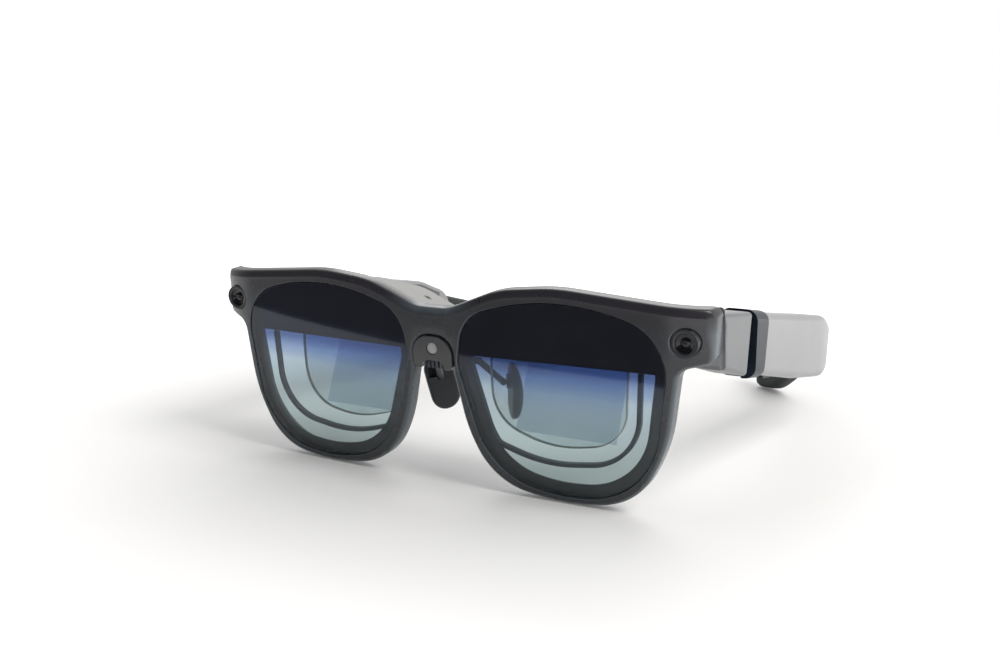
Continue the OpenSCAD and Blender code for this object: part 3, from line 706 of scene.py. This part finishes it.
# ---------- arms ----------
for side, s in SIDES:
    def arm_place(u, v, t, s=s):
        outer = HALF + (SIDE - HALF) * max(0, min(1, (u - 4) / 24))
        p = on_arm(s * (outer - t * (outer - ARM_INNER) / ARM_T), u, v) / MM
        # back into the leaning front's own frame, so that the arm ends flush on the front's back
        y = (p.y + FOOT) * cos(LEAN) + p.z * sin(LEAN)
        z = -(p.y + FOOT) * sin(LEAN) + p.z * cos(LEAN)
        return on_face(p.x, max(y, face_y(min(abs(p.x), HALF - 0.5), FRAME_D) + 0.02), z)
    o = slab("endpiece_" + side,
             [(Loop(ARM_SIDE, gap=1.0), edge_in(0, 0, 1.2) + edge_out(0, ARM_T, 0.5))],
             arm_place, step=1.6, soft=50)
    finish_piece(o, ARM, "arm_shell_" + side)
    for name, w in (("arm_cover_", 0.3), ("collar_", 0.3), ("hinge_block_", 0.2), ("hinge_knuckle_", 0.2)):
        soften(name + side, w)

# ---------- temples ----------
def cutter(name, x0, x1, a0, a1, h0, h1, place=on_arm):
    """Block that carve takes out of a piece."""
    pts = [place(x, a, h) for x in (x0, x1) for a in (a0, a1) for h in (h0, h1)]
    sides = [(0, 1, 3, 2), (4, 6, 7, 5), (0, 4, 5, 1), (2, 3, 7, 6), (0, 2, 6, 4), (1, 5, 7, 3)]
    return build(name, pts, sides)


def carve(o, tools):
    """Cuts the tools out of the piece and removes them."""
    for k in tools:
        m = o.modifiers.new("cut", "BOOLEAN")
        m.object, m.operation, m.solver = k, "DIFFERENCE", "EXACT"
    bpy.context.view_layer.update()
    mesh = bpy.data.meshes.new_from_object(o.evaluated_get(bpy.context.evaluated_depsgraph_get()))
    o.modifiers.clear()
    o.data = mesh
    for f in mesh.polygons:
        f.use_smooth = True
    mesh.set_sharp_from_angle(angle=radians(40))
    for k in tools:
        bpy.data.objects.remove(k)


for side, s in SIDES:
    shell = stopped(Loop(SHELL_SIDE, gap=1.5), 1.35, COVER_END)
    o = slab("temple_" + side, [(shell, edge_in(0, 0, 2.2, 1, 8) + edge_out(0, SHELL_T, 0.7)[:-1]
                                 + [(1.3, SHELL_T), (1.4, SHELL_T - 0.1), (1.4, 7.3)])],
             on_temple(s), step=2.5)
    starts = [SLIT_START + i * SLIT_PITCH for i in range(SLITS)]
    tools = [cutter("slit%d" % i, s * 71, s * 75, a, a + SLIT_W, -20, -14.5) for i, a in enumerate(starts)]
    if s > 0:
        tools += [cutter("key_hole%d" % i, 70, 73.2, c - w - 0.3, c + w + 0.3, -20, -12)
                  for i, (c, w, _) in enumerate(KEYS)]
        # the hollow over the keys, which their flanges and the rocker's axle stand in
        tools += [cutter("key_room%d" % i, 69.2, 74.1, c - w - 1.5, c + w + 1.5, low, -10.5)
                  for i, (c, w, low) in enumerate(KEYS)]
    carve(o, tools)
    finish_piece(o, LACQUER, "temple_shell_" + side)
    soften("temple_cover_" + side, 0.3)
    o = slab("tip_" + side,
             [(Loop(TIP_SIDE, gap=1.5), edge_in(0, 1, 2.4, 1, 8) + edge_out(0, 7.4, 2.4, 1, 8))],
             on_temple(s), step=2.5, soft=60)
    finish_piece(o, RUBBER, "temple_tip_" + side)

soften("volume_rocker", 0.3)
soften("power_button", 0.3)

# ---------- nose pads ----------
for side, s in SIDES:
    def on_pad(x, z, t, s=s):
        z -= PAD_DROP
        x, z = x * cos(PAD_ROLL) + z * sin(PAD_ROLL), -x * sin(PAD_ROLL) + z * cos(PAD_ROLL)
        y = t + 0.2
        x, y = x * cos(PAD_YAW) - y * sin(PAD_YAW), x * sin(PAD_YAW) + y * cos(PAD_YAW)
        return on_face(s * (PIVOT[0] + x), PIVOT[1] + y, PIVOT[2] + z)

    def dome(x, z, t, f=on_pad):
        # flat side at 0.1, domed side on a ball
        domed = sqrt(PAD_BALL ** 2 - x * x - z * z) - 18.6
        return f(x, z, 0.1 + (t - 0.5) / 2.4 * (domed - 0.1))
    corners = [(x * PAD_HALF, z * PAD_HALF_H, PAD_CORNER) for x, z in ((1, 1), (-1, 1), (-1, -1), (1, -1))]
    o = slab("pad_" + side,
             [(Loop(corners, gap=0.8), edge_in(0, 0.5, 1.0, 1, 6) + edge_out(0, 2.9, 1.0, 1, 6))],
             dome, step=1.2, soft=60)
    x, y, z = PIVOT
    # room for the bracket's ball and for the arm that carries it
    carve(o, [cutter("pivot_bore", s * (x - 0.95), s * (x + 0.95), y - 0.95, y + 0.95,
                     z - 2.4, z + 2.4, on_face),
              cutter("pivot_slot", s * (x - 2.6), s * (x + 2.6), y - 4.2, y + 0.02,
                     z - 1.5, z + 1.5, on_face)])
    finish_piece(o, SILICONE, "nose_pad_" + side)

for name in ("rear_housing", "top_cover"):
    soften(name, 0.35)
for name in ("focus_dial_left", "focus_dial_right"):
    soften(name, 0.15)

# ---------- floor, light and camera ----------
floor_mesh = bpy.data.meshes.new("floor")
bm = bmesh.new()
bmesh.ops.create_grid(bm, x_segments=8, y_segments=8, size=6)
bm.to_mesh(floor_mesh)
bm.free()
floor = bpy.data.objects.new("floor", floor_mesh)
bpy.context.scene.collection.objects.link(floor)
fm, ft, fb = tree("floor_white")
ft.links.new(ramp(ft, noise(ft, 6), [(0.3, (0.90, 0.893, 0.88)), (0.7, (0.92, 0.915, 0.905))]),
             fb.inputs["Base Color"])
fb.inputs["Roughness"].default_value = 0.6
fb.inputs["Specular IOR Level"].default_value = 0.15
# Painted light: the floor glows, weakly close to the object and more strongly farther out, up to 0.36 m
far = node(ft, "ShaderNodeVectorMath", operation="LENGTH")
place_on_floor = node(ft, "ShaderNodeTexCoord")
ft.links.new(place_on_floor.outputs["Object"], far.inputs[0])
glow = node(ft, "ShaderNodeMapRange", From_Min=0.10, From_Max=0.36, To_Min=0.08, To_Max=0.75)
ft.links.new(far.outputs["Value"], glow.inputs["Value"])
fb.inputs["Emission Color"].default_value = (1, 1, 1, 1)
ft.links.new(glow.outputs["Result"], fb.inputs["Emission Strength"])
floor_mesh.materials.append(fm)

# Grey card that only shows in gloss, such as that of the lenses
CARD = ((60, -150, 1), (60, -360, 1), (-260, -360, 1), (-260, -172, 1))
card = build("card", [Vector(v) * MM for v in CARD], [(0, 1, 2, 3)])
card.data.materials.append(moulded("card_grey", (0.26, 0.26, 0.265), (0.30, 0.30, 0.305), (0.7, 0.8)))
card.visible_camera = card.visible_diffuse = card.visible_shadow = card.visible_transmission = False


def panel(name, at, to, size, power, colour=(1, 1, 1)):
    """Soft light at one point, facing another."""
    data = bpy.data.lights.new(name, "AREA")
    data.shape = "RECTANGLE"
    data.size, data.size_y = size
    data.energy = power
    data.color = colour
    o = bpy.data.objects.new(name, data)
    bpy.context.scene.collection.objects.link(o)
    o.location = at
    o.rotation_euler = (Vector(to) - Vector(at)).to_track_quat("-Z", "Y").to_euler()


panel("key", (0.75, -0.15, 0.85), (0, 0, 0.02), (0.5, 0.5), 6.0, (1, 0.985, 0.96))
panel("side", (0.95, 0.25, 0.25), (0.05, 0, 0.03), (0.5, 0.7), 1.3)
panel("back", (-0.3, 0.9, 0.7), (0, 0, 0), (0.9, 0.5), 3.2)

# The camera sees white, and the object a room that is darker towards the front
world = bpy.data.worlds.new("studio")
bpy.context.scene.world = world
world.use_nodes = True
wt = world.node_tree
wt.nodes.clear()
out = node(wt, "ShaderNodeOutputWorld")
white = node(wt, "ShaderNodeBackground", Strength=1.0)
white.inputs["Color"].default_value = (1, 1, 1, 1)
room = node(wt, "ShaderNodeBackground", Strength=0.85)
path = node(wt, "ShaderNodeLightPath")
mixer = node(wt, "ShaderNodeMixShader")
coord = node(wt, "ShaderNodeTexCoord")
split = node(wt, "ShaderNodeSeparateXYZ")
wt.links.new(coord.outputs["Generated"], split.inputs["Vector"])
reach = node(wt, "ShaderNodeMapRange", From_Min=-0.55, From_Max=0.35)
wt.links.new(split.outputs["Y"], reach.inputs["Value"])
wt.links.new(ramp(wt, reach.outputs["Result"], [(0.0, (0.10, 0.10, 0.105)), (1.0, (1.0, 1.0, 1.0))]),
             room.inputs["Color"])
wt.links.new(path.outputs["Is Camera Ray"], mixer.inputs["Fac"])
wt.links.new(room.outputs["Background"], mixer.inputs[1])
wt.links.new(white.outputs["Background"], mixer.inputs[2])
wt.links.new(mixer.outputs["Shader"], out.inputs["Surface"])

camera = bpy.data.cameras.new("camera")
camera.lens = 39.6
camera.sensor_width = 36
camera.clip_start, camera.clip_end = 0.01, 50
eye = bpy.data.objects.new("camera", camera)
bpy.context.scene.collection.objects.link(eye)
EYE = (153.905, -240.703, 96.089)    # from the face's foot
yaw, pitch, roll = 0.511515, -0.191107, 0.00178
look = Vector((-sin(yaw) * cos(pitch), cos(yaw) * cos(pitch), sin(pitch)))
right = Vector((cos(yaw), sin(yaw), 0))
up = right.cross(look)
right, up = right * cos(roll) + up * sin(roll), up * cos(roll) - right * sin(roll)
place = Matrix.Translation((Vector(EYE) - Vector((0, FOOT, 0))) * MM)
eye.matrix_world = place @ Matrix((right, up, -look)).transposed().to_4x4()
bpy.context.scene.camera = eye
bpy.context.scene.view_settings.view_transform = "Standard"
